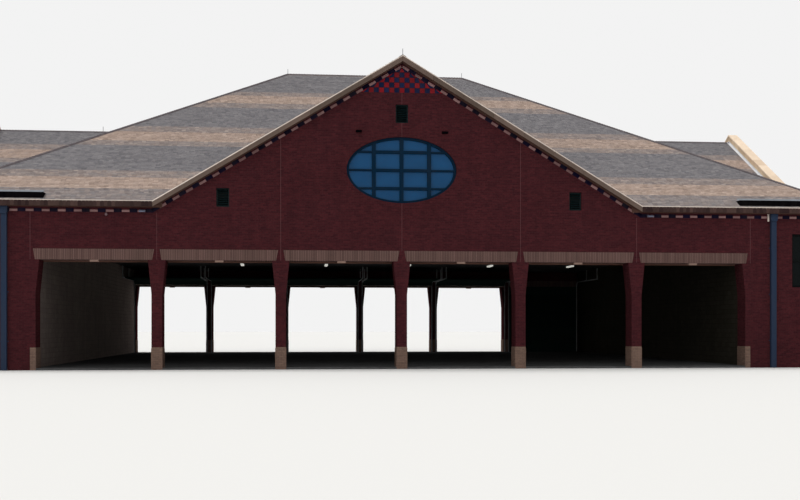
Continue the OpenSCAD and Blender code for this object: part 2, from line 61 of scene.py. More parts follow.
# Sizes that the boxes don't give, as the source has them
sizes = {
    "bays": 6, "roofEdge": 0.24, "pierDepth": 0.8, "pierWidth": 0.41, "doorLap": 0.045, "doorThick": 0.05,
    "doorSections": 8, "hangUp": 0.07, "ventLength": 3.8, "parapet": 0.35, "coping": 0.06, "copingOut": 0.03,
    "lintelGapLow": 0.36, "lintelGapTop": 0.2, "louvreTall": 0.74}
bayPitch = 2 * rowX / sizes["bays"]
bayMiddles = (np.arange(sizes["bays"]) + 0.5) * bayPitch - rowX
pierBack = wallFace - sizes["pierDepth"]
eaveZ = wallTop + sizes["roofEdge"]
ridgeHalf = eaveX - eaveY
hipSlope = (ridgeZ - eaveZ) / eaveY
gableSlope = (gableZ - eaveZ) / gableHalf
valleyRatio = hipSlope / gableSlope
sides = {"front": (0, -1), "rear": (0, 1), "left": (-1, 0), "right": (1, 0)}
front, rear, left, right = sides.values()
print("frame read: eaves at", round(eaveZ, 3), "ridge at", round(ridgeZ, 3))


# The vector divided by its length
def unit(vector):
    vector = np.asarray(vector, float)
    return vector / np.linalg.norm(vector)


# A flat frame on a wall, or on a roof where slope is its rise for each metre of plan.
# Up the wall is +Z; up the roof is (-facing, slope), one metre of plan long. Out is square to it.
# Across = up x out.
def planeAt(origin, facing, slope=None):
    level = np.array([facing[0], facing[1], 0.0])
    up = np.array([0, 0, 1.0]) if slope is None else np.array([-facing[0], -facing[1], slope])
    out = level if slope is None else unit(level * slope + [0, 0, 1])
    return {"origin": np.asarray(origin, float), "across": unit(np.cross(up, out)), "up": up, "out": out}


# Point = origin + u * across + v * up + height * out, for whole arrays of corners.
def onPlane(plane, corners, heights):
    heights = np.broadcast_to(heights, corners.shape[:-1])
    return (plane["origin"] + corners[..., :1] * plane["across"] + corners[..., 1:] * plane["up"]
            + heights[..., None] * plane["out"])


# Cells from their four corners, each given by its coordinates, numbers or arrays
def cellsOf(*corners):
    return np.stack([np.stack(np.broadcast_arrays(*corner), -1) for corner in corners], -2)


# From half below to half above a middle
def about(middle, half):
    return middle - half, middle + half


# A batch is N closed six-sided solids: a base and a top of four corners each, and values for shading.
# Where (b - a) x (c - a) + (c - a) x (d - a) of a top points to its base, both are turned round.
def batchOf(base, top, **values):
    base, top = (np.array(side, float).reshape(-1, 4, 3) for side in (base, top))
    a, b, c, d = (top[:, i] for i in range(4))
    turn = np.cross(b - a, c - a) + np.cross(c - a, d - a)
    wrong = np.einsum("ij,ij->i", turn, top.mean(1) - base.mean(1)) < 0
    base[wrong], top[wrong] = base[wrong][:, ::-1], top[wrong][:, ::-1]
    values = {key: np.broadcast_to(np.asarray(value, float), len(base)) for key, value in values.items()}
    return {"base": base, "top": top, "values": values}


# Plates that lie on a plane: four corners (u, v) each, from the height below to the heights above.
def plates(plane, corners, below, above, **values):
    return batchOf(onPlane(plane, corners, below), onPlane(plane, corners, above), **values)


# Plates with a tone each, from a layout's depth below the plane to its height above
def tiles(plane, cells, lay):
    return plates(plane, cells, -lay["sunk"], lay["proud"], tone=rng.uniform(size=cells.shape[:-2]))


# Upright blocks from low to high in x, y and z: pairs of numbers or arrays
def blocks(xs, ys, zs, **values):
    (x0, x1), (y0, y1) = xs, ys
    base, top = (cellsOf((x0, y0, z), (x1, y0, z), (x1, y1, z), (x0, y1, z)) for z in zs)
    return batchOf(base, top, **values)


# One batch from several that hold the same values
def joined(batches):
    base, top = (np.concatenate([b[side] for b in batches]) for side in ("base", "top"))
    values = {key: np.concatenate([b["values"][key] for b in batches]) for key in batches[0]["values"]}
    return {"base": base, "top": top, "values": values}


# The batch and its mirror image across the planes named, such as "x" or "xy".
def mirrored(batch, axes):
    for axis in axes:
        flip = np.array([-1.0 if name == axis else 1.0 for name in "xyz"])
        batch = joined([batch, batchOf(batch["base"] * flip, batch["top"] * flip, **batch["values"])])
    return batch


# Cells of a coursed bond between two slanting edges, and their rows. Row k spans rows[k] to rows[k + 1] and
# is moved sideways by shift[k]; each cell's lower and upper side end where the edges stand at that height.
def bondCells(rows, rowGap, pitch, gap, shift, leftOf, rightOf, least=0.004):
    lower, upper = rows[:-1], rows[1:] - rowGap
    ends = [(leftOf(v), rightOf(v)) for v in (lower, upper)]
    start = min(e[0].min() for e in ends)
    reach = max(e[1].max() for e in ends) - start
    spare = 2
    count = int(np.ceil(reach / pitch)) + 2 * spare
    near = (np.floor(start / pitch) - spare + np.arange(count))[None] * pitch + shift[:, None]
    (a, b), (d, c) = ([np.clip(edge, low[:, None], high[:, None]) for edge in (near, near + pitch - gap)]
                      for low, high in ends)
    keep = (b - a > least) | (c - d > least)
    middle = [((p + q) / 2, np.maximum(q - p, least) / 2) for p, q in ((a, b), (d, c))]
    (m0, h0), (m1, h1) = middle
    lower, upper = lower[:, None], upper[:, None]
    corners = cellsOf((m0 - h0, lower), (m0 + h0, lower), (m1 + h1, upper), (m1 - h1, upper))
    return corners[keep], np.nonzero(keep)[0]


# The same value at every height
def steady(value):
    return lambda v: np.full(np.shape(v), float(value))


def addObject(name, data):
    thing = bpy.data.objects.new(name, data)
    bpy.context.scene.collection.objects.link(thing)
    return thing


# Puts arrays of corners and faces into a mesh object that rides the building.
def putMesh(name, points, faces, finishName, values=None, smooth=False):
    mesh = bpy.data.meshes.new(name)
    mesh.vertices.add(len(points))
    mesh.vertices.foreach_set("co", np.asarray(points, np.float32).ravel())
    mesh.loops.add(faces.size)
    mesh.loops.foreach_set("vertex_index", faces.astype(np.int32).ravel())
    mesh.polygons.add(len(faces))
    mesh.polygons.foreach_set("loop_start", np.arange(len(faces), dtype=np.int32) * faces.shape[1])
    mesh.polygons.foreach_set("use_smooth", np.full(len(faces), smooth))
    for key, value in (values or {}).items():
        layer = mesh.attributes.new(key, "FLOAT", "POINT")
        layer.data.foreach_set("value", np.asarray(value, np.float32))
    mesh.update(calc_edges=True)
    mesh.materials.append(made[finishName])
    piece = addObject(name, mesh)
    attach(piece, "root")
    return piece


solidFaces = np.array([[3, 2, 1, 0], [4, 5, 6, 7], [0, 1, 5, 4], [1, 2, 6, 5], [2, 3, 7, 6], [3, 0, 4, 7]])


# Each solid of the batches as eight corners and six faces, with its values on every corner, and mirrored
# across the planes named in axes
def putBatch(name, batches, finishName, axes=""):
    batch = mirrored(joined(batches), axes)
    points = np.concatenate([batch["base"], batch["top"]], 1).reshape(-1, 3)
    count = len(batch["base"])
    faces = (np.arange(count)[:, None, None] * 8 + solidFaces).reshape(-1, 4)
    values = {key: np.repeat(value, 8) for key, value in batch["values"].items()}
    print("  ", name, count, "solids,", count * 12, "triangles")
    return putMesh(name, points, faces, finishName, values)


# A surface turned about an upright axis: point = centre + (r(v) cos u, r(v) sin u, z(v)), closed at both
# poles by rings of almost no width
def turned(name, centre, lay, finishName):
    around = lay["around"]
    u = np.linspace(0, 2 * np.pi, around, endpoint=False)
    radii, heights = (lay["radius"] * np.array(lay[key]) for key in ("radii", "heights"))
    points = np.stack([radii[:, None] * np.cos(u), radii[:, None] * np.sin(u),
                       np.broadcast_to(heights[:, None], (len(radii), around))], -1) + centre
    i, j = np.meshgrid(np.arange(len(radii) - 1), np.arange(around), indexing="ij")
    k = (j + 1) % around
    faces = np.stack([i * around + j, i * around + k, (i + 1) * around + k, (i + 1) * around + j], -1)
    return putMesh(name, points.reshape(-1, 3), faces.reshape(-1, 4), finishName, smooth=True)


# Materials

# A colour as it looks on a screen, 0 to 255, to the linear values that a shader takes.
def tint(red, green, blue):
    shades = np.array([red, green, blue]) / 255
    linear = np.where(shades <= 0.04045, shades / 12.92, ((shades + 0.055) / 1.055) ** 2.4)
    return (*linear.tolist(), 1.0)


# Adds a node; ins fills its inputs by place or name, with values or with sockets to link.
def addNode(tree, kind, ins=(), **settings):
    node = tree.nodes.new("ShaderNode" + kind)
    for key, value in settings.items():
        setattr(node, key, value)
    for key, value in (ins.items() if isinstance(ins, dict) else enumerate(ins)):
        if isinstance(value, bpy.types.NodeSocket):
            tree.links.new(value, node.inputs[key])
        elif value is not None:
            node.inputs[key].default_value = value
    return node


# Mix = first * (1 - factor) + second * factor, or what the blend makes of them.
def mixColours(tree, factor, first, second, blend="MIX"):
    ins = {0: factor, 6: first, 7: second}
    return addNode(tree, "Mix", ins, data_type="RGBA", blend_type=blend).outputs[2]


def maths(tree, operation, *ins):
    return addNode(tree, "Math", ins, operation=operation).outputs[0]


# Spread = low + value * (high - low), for a value from 0 to 1.
def spread(tree, value, low, high):
    return addNode(tree, "MapRange", {0: value, 3: low, 4: high}).outputs[0]


def objectPlace(tree):
    return addNode(tree, "TexCoord").outputs["Object"]


# Noise over the object's own coordinates, or over another place
def noiseAt(tree, scale, detail, place=None):
    ins = {"Vector": place or objectPlace(tree), "Scale": scale, "Detail": detail}
    return addNode(tree, "TexNoise", ins).outputs[0]


def newGroup(name, inputs, outputs):
    group = bpy.data.node_groups.new(name, "ShaderNodeTree")
    for way, sockets in (("INPUT", inputs), ("OUTPUT", outputs)):
        for label, kind in sockets.items():
            group.interface.new_socket(name=label, in_out=way, socket_type="NodeSocket" + kind)
    start, end = group.nodes.new("NodeGroupInput"), group.nodes.new("NodeGroupOutput")
    return group, start.outputs, end.inputs


# Puts a group's node into a material with its own values.
def useGroup(tree, group, **ins):
    return addNode(tree, "Group", ins, node_tree=group).outputs


# Level and upright distance along whichever wall the surface belongs to: a face looks along an axis
# where its normal has more than this share of it.
facingShare = 0.6


def buildWallPlace():
    group, _, end = newGroup("wallPlace", {}, {"Place": "Vector"})
    place = addNode(group, "SeparateXYZ", [objectPlace(group)]).outputs
    facing = addNode(group, "SeparateXYZ", [addNode(group, "NewGeometry").outputs["Normal"]]).outputs
    isEnd, isLevel = (maths(group, "GREATER_THAN", maths(group, "ABSOLUTE", facing[axis]), facingShare)
                      for axis in (0, 2))
    along = addNode(group, "Mix", {0: isEnd, 2: place[0], 3: place[1]}, data_type="FLOAT").outputs[0]
    upward = addNode(group, "Mix", {0: isLevel, 2: place[2], 3: place[1]}, data_type="FLOAT").outputs[0]
    group.links.new(addNode(group, "CombineXYZ", [along, upward, 0.0]).outputs[0], end["Place"])
    return group


# A running bond: where the joints are, a shade for each brick, and the height for a bump.
def buildBond():
    group, start, end = newGroup(
        "runningBond", {"Place": "Vector", "Length": "Float", "Course": "Float", "Joint": "Float"},
        {"Joint": "Float", "Shade": "Float", "Height": "Float"})
    bond = addNode(group, "TexBrick", {
        "Vector": start["Place"], "Color1": (0, 0, 0, 1), "Color2": (1, 1, 1, 1),
        "Mortar": (0.5, 0.5, 0.5, 1), "Scale": 1.0, "Mortar Size": start["Joint"], "Mortar Smooth": 0.3,
        "Bias": 0.0, "Brick Width": start["Length"], "Row Height": start["Course"]}, offset=0.5, squash=1.0)
    shade = addNode(group, "SeparateColor", [bond.outputs["Color"]]).outputs[0]
    group.links.new(bond.outputs["Fac"], end["Joint"])
    group.links.new(shade, end["Shade"])
    group.links.new(maths(group, "SUBTRACT", 1.0, bond.outputs["Fac"]), end["Height"])
    return group


# Fine grain: height = fine * share + broad * (1 - share), tone = (height - 0.5) * contrast + 0.5.
grainSpec = {"fineShare": 0.6, "fineDetail": 3.0, "broadScale": 0.13, "broadDetail": 2.0}


def buildGrain(spec):
    group, start, end = newGroup("grain", {"Scale": "Float", "Contrast": "Float"},
                                 {"Tone": "Float", "Height": "Float"})
    fine = noiseAt(group, start["Scale"], spec["fineDetail"])
    broad = noiseAt(group, maths(group, "MULTIPLY", start["Scale"], spec["broadScale"]), spec["broadDetail"])
    both = maths(group, "MULTIPLY_ADD", fine, spec["fineShare"],
                 maths(group, "MULTIPLY", broad, 1 - spec["fineShare"]))
    tone = maths(group, "MULTIPLY_ADD", maths(group, "SUBTRACT", both, 0.5), start["Contrast"], 0.5)
    group.links.new(tone, end["Tone"])
    group.links.new(both, end["Height"])
    return group


# Weather: a stain laid over a colour where broad noise * streaks that run down lies between two marks.
weatherSpec = {"broadDetail": 4.0, "streakScale": 6.0, "streakDetail": 2.0, "stretch": (1.0, 1.0, 0.12),
               "from": 0.14, "to": 0.42}


def buildWeather(spec):
    ins = {"Color": "Color", "Stain": "Color", "Amount": "Float", "Size": "Float"}
    group, start, end = newGroup("weather", ins, {"Color": "Color"})
    stretched = addNode(group, "VectorMath", [objectPlace(group), spec["stretch"]],
                        operation="MULTIPLY").outputs[0]
    broad = noiseAt(group, start["Size"], spec["broadDetail"])
    streak = noiseAt(group, maths(group, "MULTIPLY", start["Size"], spec["streakScale"]),
                     spec["streakDetail"], stretched)
    both = maths(group, "MULTIPLY", broad, streak)
    mask = addNode(group, "MapRange", {0: both, 1: spec["from"], 2: spec["to"], 3: 0.0, 4: 1.0}).outputs[0]
    amount = maths(group, "MULTIPLY", mask, start["Amount"])
    group.links.new(mixColours(group, amount, start["Color"], start["Stain"]), end["Color"])
    return group


wallPlace, runningBond = buildWallPlace(), buildBond()
grain, weather = buildGrain(grainSpec), buildWeather(weatherSpec)
print("node groups built")


def newMaterial(name, spec):
    material = bpy.data.materials.new(name)
    material.use_nodes = True
    tree = material.node_tree
    inputs = tree.nodes["Principled BSDF"].inputs
    inputs["Roughness"].default_value = spec["roughness"]
    inputs["Metallic"].default_value = spec.get("metallic", 0.0)
    inputs["Specular IOR Level"].default_value = spec.get("specular", 0.0)
    return material, tree, inputs


def grainOf(tree, spec):
    return useGroup(tree, grain, Scale=spec["grain"], Contrast=spec["contrast"])


# One bump after another, each a height from 0 to 1 and the distance that it stands for
def bumped(tree, inputs, heights):
    normal = None
    for height, distance in heights:
        ins = {"Strength": 1.0, "Distance": distance, "Height": height, "Normal": normal}
        normal = addNode(tree, "Bump", ins).outputs[0]
    tree.links.new(normal, inputs["Normal"])


# Shade = tone + grain's tone - 0.5.
def speckled(tree, tone, speck):
    return maths(tree, "ADD", tone, maths(tree, "SUBTRACT", speck["Tone"], 0.5))


def weathered(tree, inputs, colour, spec):
    worn = useGroup(tree, weather, Color=colour, Stain=spec["stain"], Amount=spec["weather"],
                    Size=spec["stainSize"])
    tree.links.new(worn["Color"], inputs["Base Color"])


# Laid bricks or blocks: two shades for the units, a mortar, grain and weather.
def laidMaterial(name, spec):
    material, tree, inputs = newMaterial(name, spec)
    place = useGroup(tree, wallPlace)["Place"]
    bond = useGroup(tree, runningBond, Place=place, Length=spec["length"], Course=spec["course"],
                    Joint=spec["joint"] / 2)
    speck = grainOf(tree, spec)
    own = spread(tree, bond["Shade"], *about(0.5, spec["unitSpread"] / 2))
    units = mixColours(tree, speckled(tree, own, speck), spec["dark"], spec["light"])
    weathered(tree, inputs, mixColours(tree, bond["Joint"], units, spec["mortar"]), spec)
    bumped(tree, inputs, [(bond["Height"], spec["jointDepth"]), (speck["Height"], spec["grainDepth"])])
    return material


brickSpec = {
    "length": 0.203, "course": 0.0677, "joint": 0.01, "jointDepth": 0.006, "grain": 90.0,
    "grainDepth": 0.0015, "dark": tint(51, 24, 29), "light": tint(79, 36, 40), "mortar": tint(66, 44, 45),
    "contrast": 2.8, "unitSpread": 0.5, "stain": tint(46, 24, 27), "weather": 0.25, "stainSize": 0.5,
    "roughness": 0.9}
tanSpec = {
    **brickSpec, "dark": tint(104, 84, 74), "light": tint(130, 106, 94), "mortar": tint(96, 84, 77),
    "stain": tint(76, 60, 52)}
blockSpec = {
    **brickSpec, "length": 0.406, "course": 0.203, "dark": tint(118, 107, 102), "light": tint(132, 120, 114),
    "mortar": tint(98, 89, 85), "stain": tint(66, 59, 55), "roughness": 0.7, "grain": 45.0}
# The right bay's wall is the same block painted darker: painted shade for that unlit bay.
blockPaintedShadeSpec = {
    **blockSpec, "dark": tint(46, 43, 37), "light": tint(54, 51, 44), "mortar": tint(38, 36, 31),
    "stain": tint(30, 28, 24)}
laidSpecs = {"wallBrick": brickSpec, "tanBrick": tanSpec, "paintedBlock": blockSpec, "blockPaintedShade": blockPaintedShadeSpec}


# One colour from dark to light by the grain, and by each solid's tone where byPiece says so, with weather
def tonedMaterial(name, spec):
    material, tree, inputs = newMaterial(name, spec)
    speck = grainOf(tree, spec)
    shade = speck["Tone"]
    if spec.get("byPiece"):
        shade = speckled(tree, addNode(tree, "Attribute", attribute_name="tone").outputs["Fac"], speck)
    weathered(tree, inputs, mixColours(tree, shade, spec["dark"], spec["light"]), spec)
    smoother, rougher = about(spec["roughness"], spec["roughSpread"])
    tree.links.new(spread(tree, speck["Tone"], smoother, min(rougher, 1.0)), inputs["Roughness"])
    bumped(tree, inputs, [(speck["Height"], spec["grainDepth"])])
    return material


plainSpec = {"grain": 40.0, "contrast": 0.4, "grainDepth": 0.0008, "stain": tint(60, 54, 48), "weather": 0.25,
             "stainSize": 0.8, "roughSpread": 0.12}


def finish(dark, light, roughness=0.5, **more):
    return {**plainSpec, "dark": tint(*dark), "light": tint(*light), "roughness": roughness, **more}


finishes = {
    "unitTan": finish((87, 66, 62), (117, 92, 87), 0.9, byPiece=True, grain=90.0, grainDepth=0.0015),
    # The eave headers' dark brown is partly their own colour and partly painted shade under the drip edge.
    "headerBrownPaintedShade": finish((46, 33, 34), (80, 62, 58), 0.9, byPiece=True),
    "rakeTan": finish((90, 77, 69), (108, 92, 84), 0.85, byPiece=True),
    "creamUnit": finish((190, 167, 141), (213, 190, 162), 0.8, byPiece=True, stain=tint(150, 128, 104)),
    "copingCream": finish((214, 192, 168), (235, 215, 192), 0.8, byPiece=True, stain=tint(170, 148, 122)),
    "mortarGrey": finish((48, 38, 35), (58, 47, 44), 0.95),
    "navyGlaze": finish((13, 10, 26), (22, 18, 40), byPiece=True),
    "roseBrick": finish((120, 90, 90), (150, 117, 116), 0.85, byPiece=True),
    "redGlaze": finish((102, 22, 30), (128, 27, 36), byPiece=True),
    "blueGlaze": finish((18, 26, 52), (27, 37, 70), byPiece=True),
    "sealant": finish((92, 57, 60), (104, 67, 71), 0.8),
    "concrete": finish((70, 70, 71), (90, 90, 90), 0.6, grain=25.0, stain=tint(44, 43, 43), weather=0.5),
    "ceilingBoard": finish((78, 78, 80), (92, 92, 94), 0.9),
    "soffitTan": finish((76, 54, 48), (92, 68, 60), 0.85),
    "sealBrown": finish((90, 64, 56), (104, 75, 66), 0.85),
    "paleMetal": finish((224, 208, 196), (240, 226, 215)),
    # The rake drips' wide range from dark to light carries painted light and shade.
    "rakeMetalPaintedLight": finish((136, 122, 112), (238, 226, 216), byPiece=True),
    "greyFlashing": finish((196, 198, 201), (220, 222, 225)),
    "ventSheet": finish((122, 126, 132), (142, 146, 152)),
    "copingStone": finish((196, 174, 146), (218, 196, 168), 0.8, stain=tint(140, 118, 88)),
    "ventBlack": finish((6, 5, 8), (11, 10, 14), 0.6, weather=0.1),
    "frameGreen": finish((10, 24, 26), (15, 32, 34), weather=0.1, specular=0.1),
    "windowDark": finish((13, 16, 17), (19, 24, 25), weather=0.1),
    "ovalNavy": finish((8, 29, 46), (14, 39, 59), weather=0.1),
    "doorPaint": finish((20, 34, 32), (27, 43, 40), byPiece=True, weather=0.15),
    "trackSteel": finish((146, 148, 150), (174, 176, 178), 0.55),
    "spoutBlue": finish((27, 40, 61), (35, 50, 73), weather=0.15, specular=0.1),
    "rodMetal": finish((110, 112, 116), (134, 136, 140), 0.4, metallic=0.7),
    "pipePlastic": finish((88, 78, 74), (106, 94, 89), 0.7),
    "domeRose": finish((112, 92, 96), (130, 108, 112), 0.4, weather=0.1),
}

shingleSpec = {
    "grey": tint(102, 100, 104), "greyLight": tint(138, 135, 136), "tan": tint(142, 124, 113),
    "tanLight": tint(188, 168, 155), "stain": tint(92, 88, 87), "weather": 0.12, "stainSize": 0.2,
    "grain": 80.0, "contrast": 2.2, "grainDepth": 0.003, "roughness": 0.95}
# The cap shingles are the same shingles painted darker: painted shade along the ridges and hips.
shingleSpecs = {"shingles": shingleSpec,
                "capShinglesPaintedShade": {**shingleSpec, "grey": tint(84, 77, 80), "greyLight": tint(104, 97, 99)}}


# Mineral shingles: grey or tan by the band, each tab with its own tone, under fine granules.
def shingleMaterial(name, spec):
    material, tree, inputs = newMaterial(name, spec)
    band, tone = (addNode(tree, "Attribute", attribute_name=key).outputs["Fac"] for key in ("band", "tone"))
    speck = grainOf(tree, spec)
    shade = speckled(tree, tone, speck)
    grey = mixColours(tree, shade, spec["grey"], spec["greyLight"])
    tan = mixColours(tree, shade, spec["tan"], spec["tanLight"])
    weathered(tree, inputs, mixColours(tree, band, grey, tan), spec)
    bumped(tree, inputs, [(speck["Height"], spec["grainDepth"])])
    return material


# The colour with each of its linear values times a share
def dimmed(colour, share):
    return tuple(share * value for value in colour[:3]) + (1.0,)


glassSpec = {"roughness": 0.06, "waver": 0.0012, "size": 1.3, "dim": 0.72, "clear": 0.1}
# The oval's blue tint stands in for the sky's reflection: a painted reflection.
glassSpecs = {"glassPaintedSkyReflection": {**glassSpec, "tint": tint(20, 76, 121), "specular": 0.03},
              "darkGlass": {**glassSpec, "tint": tint(11, 17, 18), "specular": 0.02}}


# Tinted panes, a little uneven in colour and surface. On the oval the blue and its unevenness are a painted
# sky reflection.
def glassMaterial(name, spec):
    material, tree, inputs = newMaterial(name, spec)
    noise = noiseAt(tree, spec["size"], 1.0)
    colour = mixColours(tree, noise, dimmed(spec["tint"], spec["dim"]), spec["tint"])
    tree.links.new(colour, inputs["Base Color"])
    bumped(tree, inputs, [(noise, spec["waver"])])
    inputs["Transmission Weight"].default_value = spec["clear"]
    return material


diffuserSpec = {"colour": tint(236, 236, 226), "roughness": 0.5, "specular": 0.5, "glow": 0.6, "dim": 0.9,
                "grain": 30.0, "contrast": 0.3}


def diffuserMaterial(name, spec):
    material, tree, inputs = newMaterial(name, spec)
    speck = grainOf(tree, spec)
    colour = mixColours(tree, speck["Tone"], dimmed(spec["colour"], spec["dim"]), spec["colour"])
    tree.links.new(colour, inputs["Base Color"])
    tree.links.new(colour, inputs["Emission Color"])
    inputs["Emission Strength"].default_value = spec["glow"]
    return material


lampSpec = {"black": tint(8, 7, 11), "blue": tint(122, 126, 146), "pale": tint(158, 132, 120),
            "blackAbove": 8.0, "blueAbove": 5.5, "roughness": 0.5, "dim": (0.8, 0.8, 0.8, 1.0), "grain": 40.0,
            "contrast": 0.4, "grainDepth": 0.0005}


# The gable's lamps are black, those under the eaves bluish and those over the doors pale, by their height.
def lampMaterial(name, spec):
    material, tree, inputs = newMaterial(name, spec)
    height = addNode(tree, "SeparateXYZ", [objectPlace(tree)]).outputs[2]
    speck = grainOf(tree, spec)
    paint = spec["pale"]
    for shade in ("blue", "black"):
        above = maths(tree, "GREATER_THAN", height, spec[shade + "Above"])
        paint = mixColours(tree, above, paint, spec[shade])
    shaded = mixColours(tree, 1.0, paint, spec["dim"], "MULTIPLY")
    tree.links.new(mixColours(tree, speck["Tone"], shaded, paint), inputs["Base Color"])
    bumped(tree, inputs, [(speck["Height"], spec["grainDepth"])])
    return material


made = {name: make(name, spec) for make, specs in (
    (laidMaterial, laidSpecs), (tonedMaterial, finishes), (shingleMaterial, shingleSpecs),
    (lampMaterial, {"lampHousing": lampSpec}), (glassMaterial, glassSpecs),
    (diffuserMaterial, {"lightDiffuser": diffuserSpec})) for name, spec in specs.items()}

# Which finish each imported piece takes. Roofs take the soffits' tan, and all that isn't named is brick.
nodeFinish = {
    "pier_feet": "tanBrick", "door_lintels": "mortarGrey", "floor_slab": "concrete",
    "left_bay_wall": "paintedBlock", "right_bay_wall": "blockPaintedShade", "bay_ceiling": "ceilingBoard",
    "eaves": "soffitTan", "drip_edges": "paleMetal", "parapet_copings": "copingStone",
    "eaves_vents": "ventBlack", "oval_frames": "ovalNavy", "oval_glass": "glassPaintedSkyReflection",
    "louvres": "frameGreen", "window_frames": "windowDark", "window_glass": "darkGlass",
    "sectional_doors": "doorPaint", "upright_tracks": "trackSteel", "level_tracks": "trackSteel",
    "ceiling_lights": "lightDiffuser", "outside_lights": "lampHousing", "downspouts": "spoutBlue",
    "roof_rods": "rodMetal", "vent_pipe": "pipePlastic"}
for name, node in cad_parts.items():
    isRoof = name.startswith("main_roof") or name.endswith("gable_roof")
    node.data.materials.clear()
    node.data.materials.append(made[nodeFinish.get(name, "soffitTan" if isRoof else "wallBrick")])
print("materials given to", len(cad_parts), "packed pieces")

# Roof covering

shingleLay = {
    "exposure": 0.143, "tab": 0.19, "butt": 0.01, "buttMore": 0.007, "head": 0.002, "gap": 0.006,
    "sunk": 0.004, "leastRow": 0.01, "bandMiddle": 1.5, "bandPeriod": 4.55, "bandHalf": 0.52,
    "fadeHalf": 1.05, "fade": 0.42, "overEave": 0.012, "footTan": 0.28, "toneSpread": 0.16,
    "bandSpread": 0.08}


# How tan a course is: by its distance from the nearest band's middle, 1, fade or 0, and footTan in the
# courses below the lowest band
def bandAt(plan):
    lay, period = shingleLay, shingleLay["bandPeriod"]
    away = np.abs((plan - lay["bandMiddle"] + period / 2) % period - period / 2)
    band = np.where(away < lay["bandHalf"], 1.0, np.where(away < lay["fadeHalf"], lay["fade"], 0.0))
    return np.where(plan < lay["bandMiddle"] - lay["bandHalf"], lay["footTan"], band)


# Courses of tabs up one roof face. Rows are plan distances from the eave; a tab is thick at its butt
# and thin at its head, so height falls from butt to head in each course.
def tabRun(plane, slope, depth, leftOf, rightOf):
    lay = shingleLay
    step = lay["exposure"] / np.hypot(1, slope)
    rows = np.minimum(np.arange(-lay["overEave"], depth + step, step), depth)
    rows = rows[np.append(True, np.diff(rows) > lay["leastRow"])]
    shift = rng.uniform(0, lay["tab"], len(rows) - 1)
    corners, row = bondCells(rows, 0.0, lay["tab"], lay["gap"], shift, leftOf, rightOf)
    butt = lay["butt"] + lay["buttMore"] * rng.uniform(size=len(corners))
    head = np.full(len(butt), lay["head"])
    band = bandAt(rows[row] + step / 2)
    band = np.clip(band + rng.normal(0, lay["bandSpread"], len(band)) * (band > 0), 0, 1)
    tone = np.clip(rng.normal(0.5, lay["toneSpread"], len(band)), 0, 1)
    return plates(plane, corners, -lay["sunk"], np.stack([butt, butt, head, head], 1), band=band, tone=tone)


# A face's courses between two edges near(plan) and far(plan), on the side of the middle that sign gives.
def sideRun(plane, slope, depth, sign, near, far):
    if sign > 0:
        return tabRun(plane, slope, depth, near, far)
    return tabRun(plane, slope, depth, lambda d: -far(d), lambda d: -near(d))


# The hipped roof's four faces with room left for the gables, then the two faces of each gable, which
# has a half width, a slope, a ratio for its valleys, and a start and end for its courses
def coverRoof():
    wide, small = (gableHalf, gableSlope, valleyRatio, eaveY, eaveY), (endHalf, hipSlope, 1, eaveX, endIn)
    for label, (fx, fy) in sides.items():
        half, ratio, end = (gableHalf, valleyRatio, eaveX) if fy else (endHalf, 1, eaveY)
        plane = planeAt((fx * eaveX, fy * eaveY, eaveZ), (fx, fy), hipSlope)
        runs = [sideRun(plane, hipSlope, eaveY, sign, lambda d: np.maximum(0, half - d * ratio),
                        lambda d: end - d) for sign in (-1, 1)]
        putBatch("shingles_" + label, runs, "shingles")
    for label, (fx, fy) in sides.items():
        half, slope, ratio, start, end = wide if fy else small
        runs = []
        for side in (-1, 1):
            facing = (side, 0) if fy else (0, side)
            plane = planeAt((facing[0] * half, facing[1] * half, eaveZ), facing, slope)
            runs.append(sideRun(plane, slope, half, side * (fy - fx), lambda d: start - d / ratio,
                                steady(end)))
        putBatch("shingles_%s_gable" % label, runs, "shingles")


capLay = {"exposure": 0.143, "half": 0.15, "butt": 0.026, "head": 0.014, "toneSpread": 0.2, "level": 1e-6}


# Cap shingles along a ridge or hip: each unit folds over it, square to the line on both roof faces,
# thick at the lower end. Point = line + side * half + out * height, where the way out of a roof face is
# (facing * slope, 1) over its length.
def capRun(start, end, facings, slope=hipSlope):
    start, end = np.array([start, end], float)
    outs = [unit([x * slope, y * slope, 1]) for x, y in facings]
    butt, head = capLay["butt"], capLay["head"]
    count = int(round(np.linalg.norm(end - start) / capLay["exposure"]))
    ends = np.linspace(0, 1, count + 1)[:, None] * (end - start) + start
    along = unit(end - start)
    bisector = unit(outs[0] + outs[1])
    stretch = 1 / np.dot(bisector, outs[0])
    runs = []
    for out in outs:
        side = np.cross(along, out)
        side = side * (-np.sign(side[2]) if abs(side[2]) > capLay["level"] else 1)
        low, high, edge = ends[:-1], ends[1:], side * capLay["half"]
        base = np.stack([low, low + edge, high + edge, high], 1)
        top = base + [bisector * butt * stretch, out * butt, out * head, bisector * head * stretch]
        tone = np.clip(rng.normal(0.5, capLay["toneSpread"], count), 0, 1)
        runs.append(batchOf(base, top, band=np.zeros(count), tone=tone))
    return joined(runs)


def capRoof():
    runs = []
    for sx in (-1, 1):
        for sy in (-1, 1):
            runs.append(capRun((sx * eaveX, sy * eaveY, eaveZ), (sx * ridgeHalf, 0, ridgeZ),
                               ((sx, 0), (0, sy))))
        runs.append(capRun((sx * endIn, 0, endRidgeZ), (sx * (eaveX - endHalf), 0, endRidgeZ), (front, rear)))
    runs.append(capRun((-ridgeHalf, 0, ridgeZ), (ridgeHalf, 0, ridgeZ), (front, rear)))
    meet = eaveY - gableHalf / valleyRatio
    for sy in (-1, 1):
        runs.append(capRun((0, sy * eaveY, gableZ), (0, sy * meet, gableZ), (left, right), gableSlope))
    putBatch("ridge_caps", runs, "capShinglesPaintedShade")


coverRoof()
capRoof()
print("roof covered")

frontWall = planeAt((0, -wallFace, 0), front)

